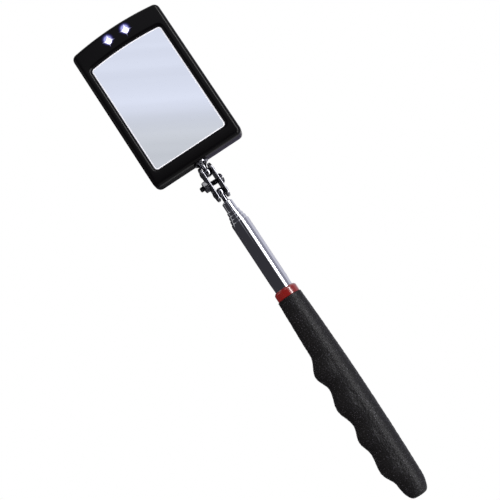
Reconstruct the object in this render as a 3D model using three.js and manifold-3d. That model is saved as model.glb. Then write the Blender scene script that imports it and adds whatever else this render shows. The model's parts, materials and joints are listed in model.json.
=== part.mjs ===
// Telescoping inspection mirror: a lit mirror on a double ball joint, carried by a five-tube pole
// with a cushion grip. Millimetres, +Z up.
// Origin: centre of the grip's butt face, on the pole's axis. +Y runs to the head, +Z out of the
// mirror, +X to the right with the head at the top.
import * as THREE from 'three';
import { mergeVertices } from 'three/addons/utils/BufferGeometryUtils.js';
import Module from 'manifold-3d';

const wasm = await Module();
wasm.setup();

// ---- driving dimensions -------------------------------------------------------------------

// grip: a round body, fullest at its belly, with four finger ridges on the -X side
const GRIP_LENGTH = 116.2;
const GRIP_BELLY_RADIUS = 7.9;
const GRIP_BELLY_Y = 59;
const GRIP_MOUTH_RADIUS = 6.75;
const GRIP_FLOOR = 5;
const BUTT_ROUND_LENGTH = 9;
const BUTT_ROUND_DEPTH = 3.55;
// [distance from the butt, how far the finger side stands beyond the round body]
const FINGER_RIDGES = [
  [0, 0.1], [9, 0.1], [18.7, 3.3], [28.9, 1.9], [36.5, 3.5], [45.1, 1.2],
  [55.6, 3.7], [66.2, 1.3], [74.8, 3.9], [85.5, 0.3], [GRIP_LENGTH, 0.1],
];

const FERRULE_RADIUS = 6.35;
const FERRULE_LENGTH = 4.8;

// pole: the first tube is fixed in the grip, the others slide
const TUBE_RADIUS = 5;
const TUBE_STEP = 0.5;
const TUBE_WALL = 0.35;
const TUBE_TOPS = [162.7, 164.9, 166.9, 169.3, 174.8];
const SLIDER_BASE = 9;
const SLIDER_STAGGER = 6.6;
const LIP_LENGTH = 1;
const LIP_GAP = 0.09;
const SEAT_LENGTH = 6;
const SEAT_DEPTH = 0.35;
const SEAT_FLANGE = 0.5;
const FIT_GAP = 0.06;

// double ball joint
const LOWER_BALL_Y = 181;
const UPPER_BALL_Y = 193.6;
const BALL_RADIUS = 2.6;
const SOCKET_RADIUS = 2.9;
const NECK_RADIUS = 1.35;
const STUD_FLANGE_RADIUS = 4.1;
const STUD_COLLAR_RADIUS = 2.5;
const CLAMP_TWIST = THREE.MathUtils.degToRad(10);
const PLATE_GAP = 4.2;
const PLATE_THICKNESS = 1.5;
const PLATE_WIDTH = 7;
const PLATE_OVERHANG = 4.1;
const DOME_HEIGHT = 0.8;
const DOME_RADIUS = 2.3;
const DOME_SUNK = 0.3; // how far a dome's body reaches into its plate
const CLAMP_SCREW_RADIUS = 1.45;
const CLAMP_GAP = 0.25;
const NUT_ACROSS_FLATS = 5.5;
const NUT_HEIGHT = 2.3;
const SCREW_END = 2.1;
const SCREW_HEAD_RADIUS = 2.9;
const SCREW_HEAD_HEIGHT = 1.8;
const SCREW_SLOT = { width: 1.3, depth: 1.3 };

// head: a front bezel and a rear shell that meet at z = 0
const HEAD_WIDTH = 54;
const HEAD_BOTTOM = 200.2;
const HEAD_TOP = 287.1;
const HEAD_ARCH = 165;
const HEAD_CORNER = 3.3;
const HEAD_FRONT = 6;
const HEAD_BACK = -6.5;
const EDGE_ROUND = 2.2;
const WALL = 1.8;
const FRONT_WALL = 1.6;
const BACK_WALL = 1.5;
const WINDOW = { width: 43.2, bottom: 208.2, top: 274.3, arch: 165, corner: 1.8 };
const WINDOW_CHAMFER = 0.8;
const GLASS_OVERLAP = 1.3;
const GLASS_THICKNESS = 2;
const PAD_THICKNESS = 0.8;
const PAD_INSET = 3;
const LED_X = 5.3;
const LED_Y = 281;
const LED_RADIUS = 1.5;
const LED_FLANGE_RADIUS = 1.9;
const LED_BOARD = { halfWidth: 11, low: 278.3, high: 284.1, back: 0.2 };
const CASE_SCREWS = [[-20, 204.3], [20, 204.3], [-20, 281], [20, 281]];
const CELL_Y = 232;
const CELL_RADIUS = 10;
const CELL_HEIGHT = 1.6;
const CELL_BACK = -4.6;
const CONTACT_STRIP = { left: 6.6, right: 9.4, end: 283, back: -0.6, front: -0.3 };
const POCKET_Y = 233;
const COVER_SIZE = [25.8, 33.8];
const COVER_THICKNESS = 1.4;
const COVER_SCREW_Y = 246.8;
const SWITCH_Y = 264;
const KNOB_REST_X = -1;

const ROUND = 20; // sides of the pole's tubes
const SMALL_ROUND = 12; // sides of screws, holes and bosses

// ---- solids -------------------------------------------------------------------------------

// a closed manifold from a three.js geometry, with its faces pointing out
function solid(geometry) {
  const bare = geometry.clone();
  bare.deleteAttribute('normal');
  bare.deleteAttribute('uv');
  const merged = mergeVertices(bare, 1e-4);
  const p = merged.attributes.position.array;
  const triangles = [];
  let volume = 0;
  for (let i = 0; i < merged.index.count; i += 3) {
    const [a, b, c] = merged.index.array.slice(i, i + 3);
    if (a === b || b === c || c === a) continue;
    triangles.push([a, b, c]);
    const corner = [a, b, c].map((v) => new THREE.Vector3().fromArray(p, 3 * v));
    volume += corner[0].dot(corner[1].cross(corner[2]));
  }
  const wound = volume < 0 ? triangles.map(([a, b, c]) => [a, c, b]) : triangles;
  return new wasm.Manifold(new wasm.Mesh({
    numProp: 3,
    vertProperties: new Float32Array(p),
    triVerts: new Uint32Array(wound.flat()),
  }));
}

function geometryOf(body) {
  const mesh = body.getMesh();
  const geometry = new THREE.BufferGeometry();
  geometry.setAttribute('position', new THREE.BufferAttribute(new Float32Array(mesh.vertProperties), 3));
  geometry.setIndex(new THREE.BufferAttribute(new Uint32Array(mesh.triVerts), 1));
  geometry.computeVertexNormals();
  return geometry;
}

const joined = (first, ...rest) => rest.reduce((sum, body) => sum.add(body), first);
const cut = (first, ...rest) => rest.reduce((left, body) => left.subtract(body), first);

// a surface of revolution about +Y from [radius, height] corners, closed on itself
function lathe(profile, sides = SMALL_ROUND) {
  const closes = profile[0][0] === 0 && profile.at(-1)[0] === 0;
  const corners = closes ? profile : [...profile, profile[0]];
  return new THREE.LatheGeometry(corners.map(([r, h]) => new THREE.Vector2(r, h)), sides);
}

const turned = (profile, sides) => solid(lathe(profile, sides));

// a solid of revolution that stands on +Z at x, y
const turnedUp = (profile, x, y, sides) =>
  solid(lathe(profile, sides).rotateX(Math.PI / 2).translate(x, y, 0));

const postAt = (x, y, radius, low, high) =>
  turnedUp([[0, low], [radius, low], [radius, high], [0, high]], x, y);

// a box from its lowest and highest corners
function block([x0, y0, z0], [x1, y1, z1]) {
  const box = new THREE.BoxGeometry(x1 - x0, y1 - y0, z1 - z0);
  return solid(box.translate((x0 + x1) / 2, (y0 + y1) / 2, (z0 + z1) / 2));
}

// [radius, height] points round a ball, between two latitudes in degrees
function ballArc(centre, radius, from, to, steps) {
  return Array.from({ length: steps + 1 }, (_, i) => {
    const angle = THREE.MathUtils.degToRad(from + ((to - from) * i) / steps);
    const across = Math.abs(angle) === Math.PI / 2 ? 0 : radius * Math.cos(angle);
    return [across, centre + radius * Math.sin(angle)];
  });
}

// a panel with round corners and a gently arched top, drawn in X and Y
function archedPanel({ width, bottom, top, arch, corner }) {
  const side = width / 2 - corner;
  const archCentre = top - arch;
  const shoulder = archCentre + Math.sqrt((arch - corner) ** 2 - side ** 2);
  const lean = Math.atan2(shoulder - archCentre, side);
  const shape = new THREE.Shape();
  shape.absarc(-side, bottom + corner, corner, Math.PI, 1.5 * Math.PI);
  shape.absarc(side, bottom + corner, corner, 1.5 * Math.PI, 2 * Math.PI);
  shape.absarc(side, shoulder, corner, 0, lean);
  shape.absarc(0, archCentre, arch, lean, Math.PI - lean);
  shape.absarc(-side, shoulder, corner, Math.PI - lean, Math.PI);
  return shape;
}

// the same panel with every edge moved out by a distance (in, if it is negative)
const grown = ({ width, bottom, top, arch, corner }, by) => ({
  width: width + 2 * by,
  bottom: bottom - by,
  top: top + by,
  arch: arch + by,
  corner: Math.max(corner + by, 0.5),
});

function slab(panel, low, high) {
  const settings = { depth: high - low, bevelEnabled: false, curveSegments: 4 };
  return solid(new THREE.ExtrudeGeometry(archedPanel(panel), settings).translate(0, 0, low));
}

// a slab whose long edges are rounded over at both faces
function roundedSlab(panel, low, high, round) {
  const settings = {
    depth: high - low - 2 * round,
    bevelThickness: round,
    bevelSize: round,
    bevelOffset: -round,
    bevelSegments: 3,
    curveSegments: 4,
  };
  return solid(new THREE.ExtrudeGeometry(archedPanel(panel), settings).translate(0, 0, low + round));
}

// a cutter that widens from one height up to another, then carries on straight
function flaredCutter(panel, low, high, flare) {
  const settings = {
    depth: 3,
    bevelThickness: high - low,
    bevelSize: flare,
    bevelOffset: 0,
    bevelSegments: 1,
    curveSegments: 4,
  };
  return solid(new THREE.ExtrudeGeometry(archedPanel(panel), settings).translate(0, 0, high));
}

// ---- finishes -----------------------------------------------------------------------------

const FINISHES = {
  cushion: { color: '#1f1e21', roughness: 0.7, metalness: 0 },
  redRing: { color: '#c02218', roughness: 0.25, metalness: 0 },
  chrome: { color: '#c9ccd2', roughness: 0.12, metalness: 1 },
  steel: { color: '#8b8d92', roughness: 0.3, metalness: 1 },
  brass: { color: '#b99a52', roughness: 0.35, metalness: 1 },
  casing: { color: '#19171a', roughness: 0.35, metalness: 0 },
  plainPlastic: { color: '#2b2b2e', roughness: 0.55, metalness: 0 },
  mirror: { color: '#d6dceb', roughness: 0.03, metalness: 1 },
  foam: { color: '#e6e3da', roughness: 0.9, metalness: 0 },
  lens: { color: '#e8edff', roughness: 0.1, metalness: 0 },
  board: { color: '#2c6b3d', roughness: 0.5, metalness: 0 },
  resistor: { color: '#c8a878', roughness: 0.5, metalness: 0 },
};

function piece(name, body, finish) {
  const mesh = new THREE.Mesh(geometryOf(body), new THREE.MeshStandardMaterial(FINISHES[finish]));
  mesh.name = name;
  return mesh;
}

// ---- handle -------------------------------------------------------------------------------

// the finger side's extra at a distance from the butt, level at every ridge and valley
function fingerExtra(y) {
  const next = FINGER_RIDGES.findIndex(([at]) => at > y);
  if (next < 1) return FINGER_RIDGES.at(-1)[1];
  const [y0, low] = FINGER_RIDGES[next - 1];
  const [y1, high] = FINGER_RIDGES[next];
  const part = 0.5 - 0.5 * Math.cos((Math.PI * (y - y0)) / (y1 - y0));
  return low + (high - low) * part;
}

function gripRadius(y) {
  const taper = (GRIP_BELLY_RADIUS - GRIP_MOUTH_RADIUS) / (GRIP_LENGTH - GRIP_BELLY_Y) ** 2;
  const body = GRIP_BELLY_RADIUS - taper * (y - GRIP_BELLY_Y) ** 2;
  const inButt = Math.max(0, 1 - y / BUTT_ROUND_LENGTH);
  return body - BUTT_ROUND_DEPTH * (1 - Math.sqrt(1 - inButt ** 2));
}

function cushionGrip() {
  const buttRows = [0, 0.4, 1.4, 3.4, 6];
  const rows = [...buttRows, ...Array.from({ length: 34 }, (_, i) => 9 + ((GRIP_LENGTH - 9) * i) / 33)];
  const body = lathe([[0, 0], ...rows.map((y) => [gripRadius(y), y]), [0, GRIP_LENGTH]], ROUND);
  const position = body.attributes.position;
  for (let i = 0; i < position.count; i += 1) {
    const x = position.getX(i);
    const y = position.getY(i);
    const z = position.getZ(i);
    const radius = Math.hypot(x, z);
    const towardFingers = radius > 0 ? Math.max(0, -x / radius) ** 1.3 : 0;
    const scale = radius > 0 ? 1 + (fingerExtra(y) * towardFingers) / radius : 1;
    position.setXYZ(i, x * scale, y, z * scale);
  }
  const bore = TUBE_RADIUS + FIT_GAP;
  const end = GRIP_LENGTH + 1;
  return cut(solid(body), turned([[0, GRIP_FLOOR], [bore, GRIP_FLOOR], [bore, end], [0, end]], ROUND));
}

function ferruleRing() {
  const bore = TUBE_RADIUS + FIT_GAP;
  const low = GRIP_LENGTH;
  const high = GRIP_LENGTH + FERRULE_LENGTH;
  return turned([
    [bore, low], [FERRULE_RADIUS - 0.3, low], [FERRULE_RADIUS, low + 0.3],
    [FERRULE_RADIUS, high - 0.8], [FERRULE_RADIUS - 0.25, high - 0.25], [FERRULE_RADIUS - 0.8, high],
    [bore, high],
  ], ROUND);
}

// ---- pole ---------------------------------------------------------------------------------

const tubeRadius = (index) => TUBE_RADIUS - TUBE_STEP * index;
const sliderBase = (index) => SLIDER_BASE + SLIDER_STAGGER * (index - 1);

// the upper end of a tube, rolled in to a lip that keeps the next bush from pulling out
function rolledEnd(index) {
  const radius = tubeRadius(index);
  const top = TUBE_TOPS[index];
  const bore = radius - TUBE_WALL;
  const outside = [[radius, top - 0.35], [radius - 0.13, top]];
  const isTip = index === TUBE_TOPS.length - 1;
  if (isTip) return [...outside, [bore, top]];
  const lip = tubeRadius(index + 1) + LIP_GAP;
  return [...outside, [lip, top], [lip, top - LIP_LENGTH], [bore, top - LIP_LENGTH - 0.2]];
}

function outerTube() {
  return turned([
    [TUBE_RADIUS - TUBE_WALL, GRIP_FLOOR], [TUBE_RADIUS, GRIP_FLOOR], ...rolledEnd(0),
  ], ROUND);
}

// a sliding tube, with a necked seat for its bush at the lower end
function slidingTube(index) {
  const radius = tubeRadius(index);
  const bore = radius - TUBE_WALL;
  const base = sliderBase(index);
  const neck = radius - SEAT_DEPTH;
  const flange = radius - 0.08;
  return turned([
    [neck - TUBE_WALL, base], [flange, base], [flange, base + SEAT_FLANGE],
    [neck, base + SEAT_FLANGE], [neck, base + SEAT_LENGTH - 0.3], [radius, base + SEAT_LENGTH],
    ...rolledEnd(index),
    [bore, base + SEAT_LENGTH + 0.3], [neck - TUBE_WALL, base + SEAT_LENGTH],
  ], ROUND);
}

// a split spring sleeve that grips the bore of the tube outside it
function frictionBush(index) {
  const radius = tubeRadius(index);
  const inside = radius - SEAT_DEPTH + 0.03;
  const outside = radius + 0.09;
  const low = sliderBase(index) + SEAT_FLANGE + 0.15;
  const high = sliderBase(index) + SEAT_LENGTH - 0.55;
  const sleeve = turned([[inside, low], [outside, low], [outside, high], [inside, high]], ROUND);
  return cut(sleeve, block([-0.6, low - 1, 0], [0.6, high + 1, radius + 1]));
}

function tubeEndPlug() {
  const radius = TUBE_RADIUS - TUBE_WALL - 0.1;
  const low = GRIP_FLOOR + 0.2;
  return turned([
    [0, low], [radius, low], [radius, low + 3.3], [radius - 1.1, low + 3.3], [radius - 1.1, low + 1.2],
    [0, low + 1.2],
  ], ROUND);
}

// the sleeve pressed into the tip, which holds the lower stud
function tipPlug() {
  const radius = tubeRadius(4) - TUBE_WALL - 0.03;
  const bore = NECK_RADIUS + 0.3;
  const top = TUBE_TOPS[4];
  return turned([
    [bore, top - 10], [radius, top - 10], [radius, top], [radius - 0.4, top + 0.45], [bore, top + 0.45],
  ], ROUND);
}

// ---- double ball joint --------------------------------------------------------------------

function lowerBallStud() {
  const plugBase = TUBE_TOPS[4] - 10;
  return turned([
    [0, plugBase - 1.3], [2.1, plugBase - 1.3], [2.1, plugBase - 0.3], [NECK_RADIUS, plugBase - 0.3],
    ...ballArc(LOWER_BALL_Y, BALL_RADIUS, -58.7, 90, 6),
  ], 16);
}

function upperBallStud() {
  const flangeTop = HEAD_BOTTOM - 0.15;
  const collar = HEAD_BOTTOM + WALL + 0.3;
  return turned([
    ...ballArc(UPPER_BALL_Y, BALL_RADIUS, -90, 58.7, 6),
    [NECK_RADIUS, flangeTop - 3.4], [1.95, flangeTop - 2.4], [3, flangeTop - 1.4],
    [STUD_FLANGE_RADIUS, flangeTop - 0.8], [STUD_FLANGE_RADIUS, flangeTop], [NECK_RADIUS, flangeTop],
    [NECK_RADIUS, collar], [STUD_COLLAR_RADIUS, collar], [STUD_COLLAR_RADIUS, collar + 1.2],
    [0, collar + 1.2],
  ], 16);
}

const CLAMP_MIDDLE = (LOWER_BALL_Y + UPPER_BALL_Y) / 2;
const BALL_SPAN = UPPER_BALL_Y - LOWER_BALL_Y;
const PLATE_INSIDE = PLATE_GAP / 2;
const PLATE_OUTSIDE = PLATE_INSIDE + PLATE_THICKNESS;

// a pressed plate with two ball sockets, on the +X side of the clamp's own middle
function clampPlate(side) {
  const halfWidth = PLATE_WIDTH / 2;
  const halfStraight = BALL_SPAN / 2 + PLATE_OVERHANG - halfWidth;
  const outline = new THREE.Shape();
  outline.absarc(0, -halfStraight, halfWidth, Math.PI, 2 * Math.PI);
  outline.absarc(0, halfStraight, halfWidth, 0, Math.PI);
  const settings = { depth: PLATE_THICKNESS, bevelEnabled: false, curveSegments: 7 };
  const flat = new THREE.ExtrudeGeometry(outline, settings);
  flat.rotateY((side * Math.PI) / 2).translate(side * PLATE_INSIDE, 0, 0);
  const domeSphere = (DOME_RADIUS ** 2 + DOME_HEIGHT ** 2) / (2 * DOME_HEIGHT);
  let plate = solid(flat);
  for (const end of [-1, 1]) {
    const y = (end * BALL_SPAN) / 2;
    const latitude = THREE.MathUtils.radToDeg(Math.acos((DOME_RADIUS + 0.15) / domeSphere));
    const base = domeSphere - DOME_HEIGHT - DOME_SUNK;
    const dome = lathe([[0, base], ...ballArc(0, domeSphere, latitude, 90, 4)]);
    dome.translate(0, PLATE_OUTSIDE + DOME_HEIGHT - domeSphere, 0);
    dome.rotateZ((-side * Math.PI) / 2).translate(0, y, 0);
    plate = plate.add(solid(dome));
  }
  for (const end of [-1, 1]) {
    const socket = new THREE.SphereGeometry(SOCKET_RADIUS, 16, 10).translate(0, (end * BALL_SPAN) / 2, 0);
    plate = plate.subtract(solid(socket));
  }
  const hole = new THREE.CylinderGeometry(1.65, 1.65, 10, SMALL_ROUND).rotateZ(Math.PI / 2);
  return plate.subtract(solid(hole));
}

// a slotted pan-head screw along the clamp's X, its head on the +X side and its slot along Z
function clampScrew() {
  const seat = PLATE_OUTSIDE + CLAMP_GAP;
  const end = -(PLATE_OUTSIDE + CLAMP_GAP + NUT_HEIGHT + SCREW_END);
  const top = seat + SCREW_HEAD_HEIGHT;
  const profile = [
    [0, end], [CLAMP_SCREW_RADIUS - 0.55, end], [CLAMP_SCREW_RADIUS, end + 0.55], [CLAMP_SCREW_RADIUS, seat],
    [SCREW_HEAD_RADIUS, seat], [SCREW_HEAD_RADIUS, seat + 0.8], [SCREW_HEAD_RADIUS - 0.35, seat + 1.35],
    [SCREW_HEAD_RADIUS - 1.1, top], [0, top],
  ];
  const { width, depth } = SCREW_SLOT;
  const slot = block([top - depth, -width / 2, -4], [top + 1, width / 2, 4]);
  return cut(solid(lathe(profile).rotateZ(-Math.PI / 2)), slot);
}

function clampNut() {
  const corner = NUT_ACROSS_FLATS / Math.sqrt(3);
  const middle = -(PLATE_OUTSIDE + CLAMP_GAP + NUT_HEIGHT / 2);
  const hex = new THREE.CylinderGeometry(corner, corner, NUT_HEIGHT, 6).rotateZ(Math.PI / 2);
  const bore = CLAMP_SCREW_RADIUS + 0.2;
  const hole = new THREE.CylinderGeometry(bore, bore, 2 * NUT_HEIGHT, SMALL_ROUND).rotateZ(Math.PI / 2);
  return cut(solid(hex), solid(hole)).translate(middle, 0, 0);
}

// ---- head ---------------------------------------------------------------------------------

const CASE = { width: HEAD_WIDTH, bottom: HEAD_BOTTOM, top: HEAD_TOP, arch: HEAD_ARCH, corner: HEAD_CORNER };
const GLASS = grown(WINDOW, GLASS_OVERLAP);
const GLASS_FRONT = HEAD_FRONT - FRONT_WALL;
const GLASS_BACK = GLASS_FRONT - GLASS_THICKNESS;
const PAD_BACK = GLASS_BACK - PAD_THICKNESS;
const BACK_INSIDE = HEAD_BACK + BACK_WALL;
const COVER_INSIDE = HEAD_BACK + COVER_THICKNESS;

const acrossHead = (z0, z1) => block([-40, HEAD_BOTTOM - 10, z0], [40, HEAD_TOP + 10, z1]);

// the stud's clearance hole, half of it in each shell
function studHole() {
  const radius = NECK_RADIUS + 0.3;
  const low = HEAD_BOTTOM - 1;
  const high = HEAD_BOTTOM + WALL + 1;
  return turned([[0, low], [radius, low], [radius, high], [0, high]]);
}

function frontBezel() {
  const shell = cut(roundedSlab(CASE, -8, HEAD_FRONT, EDGE_ROUND), acrossHead(-20, 0));
  const hollow = slab(grown(CASE, -WALL), -1, GLASS_FRONT);
  const frame = cut(
    slab(grown(GLASS, 1.1), GLASS_BACK - 0.2, GLASS_FRONT + 0.2),
    slab(grown(GLASS, 0.3), GLASS_BACK - 1, GLASS_FRONT + 1),
  );
  const posts = CASE_SCREWS.map(([x, y]) => postAt(x, y, 2.4, 0, GLASS_FRONT + 0.2));
  const pilots = CASE_SCREWS.map(([x, y]) => postAt(x, y, 1.05, -1, 3.6));
  const ledHoles = [-LED_X, LED_X].map((x) => postAt(x, LED_Y, LED_RADIUS + 0.12, 3, HEAD_FRONT + 1));
  return cut(
    joined(cut(shell, hollow), frame, ...posts),
    ...pilots,
    ...ledHoles,
    slab(WINDOW, GLASS_FRONT - 1, HEAD_FRONT + 1),
    flaredCutter(WINDOW, HEAD_FRONT - 1, HEAD_FRONT, WINDOW_CHAMFER),
    studHole(),
  );
}

function rearShell() {
  const shell = cut(roundedSlab(CASE, HEAD_BACK, 8, EDGE_ROUND), acrossHead(0, 20));
  const hollow = slab(grown(CASE, -WALL), BACK_INSIDE, 1);
  const bosses = CASE_SCREWS.map(([x, y]) => postAt(x, y, 2.6, BACK_INSIDE - 0.5, 0));
  const [coverWidth, coverHeight] = COVER_SIZE;
  const pocketWidth = coverWidth / 2 + 1.3;
  const pocketHeight = coverHeight / 2 + 1.3;
  const pocket = block(
    [-pocketWidth, POCKET_Y - pocketHeight, BACK_INSIDE - 0.5],
    [pocketWidth, POCKET_Y + pocketHeight, PAD_BACK],
  );
  const ribs = [-18, 18].map((x) => block([x - 0.6, 212, BACK_INSIDE - 0.5], [x + 0.6, 272, PAD_BACK]));
  const coverSeat = block(
    [-coverWidth / 2 - 0.15, POCKET_Y - coverHeight / 2 - 0.15, HEAD_BACK - 1],
    [coverWidth / 2 + 0.15, POCKET_Y + coverHeight / 2 + 0.15, COVER_INSIDE],
  );
  const cellRoom = block([-11, CELL_Y - 11.2, COVER_INSIDE - 1], [11, CELL_Y + 11.2, 0]);
  const stripNotch = block([6.2, CELL_Y + 10, -1.1], [9.8, POCKET_Y + pocketHeight + 1, -0.1]);
  const counterbores = CASE_SCREWS.map(([x, y]) => postAt(x, y, 2.2, HEAD_BACK - 1, BACK_INSIDE));
  const holes = CASE_SCREWS.map(([x, y]) => postAt(x, y, 1.2, HEAD_BACK - 1, 1));
  const scoop = block([-6, SWITCH_Y - 3.5, HEAD_BACK - 1], [6, SWITCH_Y + 3.5, HEAD_BACK + 0.5]);
  const slot = block([-3.2, SWITCH_Y - 1.3, HEAD_BACK - 1], [3.2, SWITCH_Y + 1.3, BACK_INSIDE + 1]);
  return cut(
    joined(cut(shell, hollow), pocket, ...ribs, ...bosses),
    coverSeat,
    cellRoom,
    stripNotch,
    postAt(0, COVER_SCREW_Y, 0.95, COVER_INSIDE - 1, -1.2),
    ...counterbores,
    ...holes,
    scoop,
    slot,
    studHole(),
  );
}

function batteryCover() {
  const [width, height] = COVER_SIZE;
  const gripLow = POCKET_Y - height / 2 + 2.4;
  const plate = block(
    [-width / 2, POCKET_Y - height / 2, HEAD_BACK],
    [width / 2, POCKET_Y + height / 2, COVER_INSIDE],
  );
  return cut(
    plate,
    postAt(0, COVER_SCREW_Y, 1.2, HEAD_BACK - 1, 0),
    postAt(0, COVER_SCREW_Y, 2.2, HEAD_BACK - 1, HEAD_BACK + 0.9),
    block([-4, gripLow, HEAD_BACK - 1], [4, gripLow + 1.2, HEAD_BACK + 0.5]),
  );
}

// a pan-head tapping screw driven up from the back
function tappingScrew(x, y, seat, headHeight, length, radius) {
  return turnedUp([
    [0, seat - headHeight], [1.1, seat - headHeight], [1.9, seat - headHeight + 0.5], [1.9, seat],
    [radius, seat], [radius, seat + length - 0.8], [0, seat + length],
  ], x, y);
}

function ledLamp(x) {
  const seat = PAD_BACK + 0.2;
  const domeCentre = HEAD_FRONT - 0.8;
  return turnedUp([
    [0, seat], [LED_FLANGE_RADIUS, seat], [LED_FLANGE_RADIUS, seat + 1], [LED_RADIUS, seat + 1],
    ...ballArc(domeCentre, LED_RADIUS, 0, 90, 5),
  ], x, LED_Y);
}

function ledBoard() {
  const { halfWidth, low, high, back } = LED_BOARD;
  return block([-halfWidth, low, back], [halfWidth, high, PAD_BACK + 0.2]);
}

function ledResistor() {
  const leads = [[-5, 0.25], [-1.8, 0.25], [-1.6, 0.8], [1.6, 0.8], [1.8, 0.25], [5, 0.25]];
  const profile = [[0, -5], ...leads.map(([h, r]) => [r, h]), [0, 5]];
  return solid(lathe(profile, 10).rotateZ(Math.PI / 2).translate(0, 281, -1));
}

function coinCell(low) {
  return turnedUp([
    [0, low], [CELL_RADIUS - 1.2, low], [CELL_RADIUS - 1.2, low + 0.15], [CELL_RADIUS - 0.2, low + 0.3],
    [CELL_RADIUS, low + 0.5], [CELL_RADIUS, low + CELL_HEIGHT], [0, low + CELL_HEIGHT],
  ], 0, CELL_Y, 20);
}

// an arched leaf that presses on the cells from the pocket's roof
function contactSpring() {
  const bend = 30;
  const reach = THREE.MathUtils.degToRad(14);
  const down = 1.5 * Math.PI;
  const leaf = new THREE.Shape();
  leaf.absarc(0, bend, bend, down - reach, down + reach);
  leaf.absarc(0, bend, bend - 0.3, down + reach, down - reach, true);
  const settings = { depth: 5, bevelEnabled: false, curveSegments: 10 };
  const strip = new THREE.ExtrudeGeometry(leaf, settings).rotateX(Math.PI / 2).rotateZ(Math.PI / 2);
  strip.computeBoundingBox();
  const { min, max } = strip.boundingBox;
  return solid(strip.translate(-(min.x + max.x) / 2, CELL_Y - (min.y + max.y) / 2, -0.1 - max.z));
}

function contactStrip() {
  const { left, right, end, back, front } = CONTACT_STRIP;
  return block([left, CELL_Y + 8.5, back], [right, end, front]);
}

function switchBody() {
  const body = block([-4.4, SWITCH_Y - 1.9, BACK_INSIDE + 0.1], [4.4, SWITCH_Y + 1.9, -1.4]);
  return cut(body, block([-3, SWITCH_Y - 1.1, BACK_INSIDE - 1], [3, SWITCH_Y + 1.1, -3]));
}

function switchKnob() {
  const stem = block([-0.9, -0.85, BACK_INSIDE - 0.2], [0.9, 0.85, -3.3]);
  const pad = block([-2, -1.05, HEAD_BACK + 0.2], [2, 1.05, BACK_INSIDE]);
  const grooves = [-1, 0, 1].map((x) => block([x - 0.2, -2, HEAD_BACK], [x + 0.2, 2, HEAD_BACK + 0.45]));
  return cut(joined(pad, stem), ...grooves);
}

// ---- assembly -----------------------------------------------------------------------------

const tool = new THREE.Group();

const handle = new THREE.Group();
handle.add(
  piece('cushion_grip', cushionGrip(), 'cushion'),
  piece('ferrule_ring', ferruleRing(), 'redRing'),
  piece('outer_tube', outerTube(), 'chrome'),
  piece('tube_end_plug', tubeEndPlug(), 'plainPlastic'),
);
tool.add(handle);

for (let index = 1; index < TUBE_TOPS.length; index += 1) {
  const section = new THREE.Group();
  section.add(
    piece(`tube_section_${index + 1}`, slidingTube(index), 'chrome'),
    piece(`friction_bush_${index + 1}`, frictionBush(index), 'brass'),
  );
  tool.add(section);
}
tool.add(piece('tip_plug', tipPlug(), 'steel'));

tool.add(piece('lower_ball_stud', lowerBallStud(), 'steel'));
const clamp = new THREE.Group();
clamp.position.set(0, CLAMP_MIDDLE, 0);
clamp.rotation.y = CLAMP_TWIST;
clamp.add(
  piece('clamp_plate_left', clampPlate(-1), 'steel'),
  piece('clamp_plate_right', clampPlate(1), 'steel'),
  piece('clamp_screw', clampScrew(), 'steel'),
  piece('clamp_nut', clampNut(), 'steel'),
);
tool.add(clamp);
tool.add(piece('upper_ball_stud', upperBallStud(), 'steel'));

const head = new THREE.Group();
head.add(
  piece('front_bezel', frontBezel(), 'casing'),
  piece('rear_shell', rearShell(), 'casing'),
  piece('mirror_glass', slab(GLASS, GLASS_BACK, GLASS_FRONT), 'mirror'),
  piece('mirror_pad', slab(grown(GLASS, -PAD_INSET), PAD_BACK, GLASS_BACK), 'foam'),
  piece('led_left', ledLamp(-LED_X), 'lens'),
  piece('led_right', ledLamp(LED_X), 'lens'),
  piece('led_board', ledBoard(), 'board'),
  piece('led_resistor', ledResistor(), 'resistor'),
  piece('coin_cell_1', coinCell(CELL_BACK), 'steel'),
  piece('coin_cell_2', coinCell(CELL_BACK + CELL_HEIGHT), 'steel'),
  piece('contact_spring', contactSpring(), 'brass'),
  piece('contact_strip', contactStrip(), 'brass'),
  piece('battery_cover', batteryCover(), 'casing'),
  piece('battery_cover_screw', tappingScrew(0, COVER_SCREW_Y, HEAD_BACK + 0.9, 0.75, 3.6, 0.85), 'steel'),
  piece('switch_body', switchBody(), 'plainPlastic'),
);
CASE_SCREWS.forEach(([x, y], i) => {
  head.add(piece(`case_screw_${i + 1}`, tappingScrew(x, y, BACK_INSIDE, 1.1, 8, 0.95), 'steel'));
});
const knob = piece('switch_knob', switchKnob(), 'plainPlastic');
knob.position.set(KNOB_REST_X, SWITCH_Y, 0);
head.add(knob);
tool.add(head);

export default tool;
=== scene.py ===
import json
import math
from collections import namedtuple

import bmesh
import bpy
from mathutils import Matrix, Vector, noise


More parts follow.
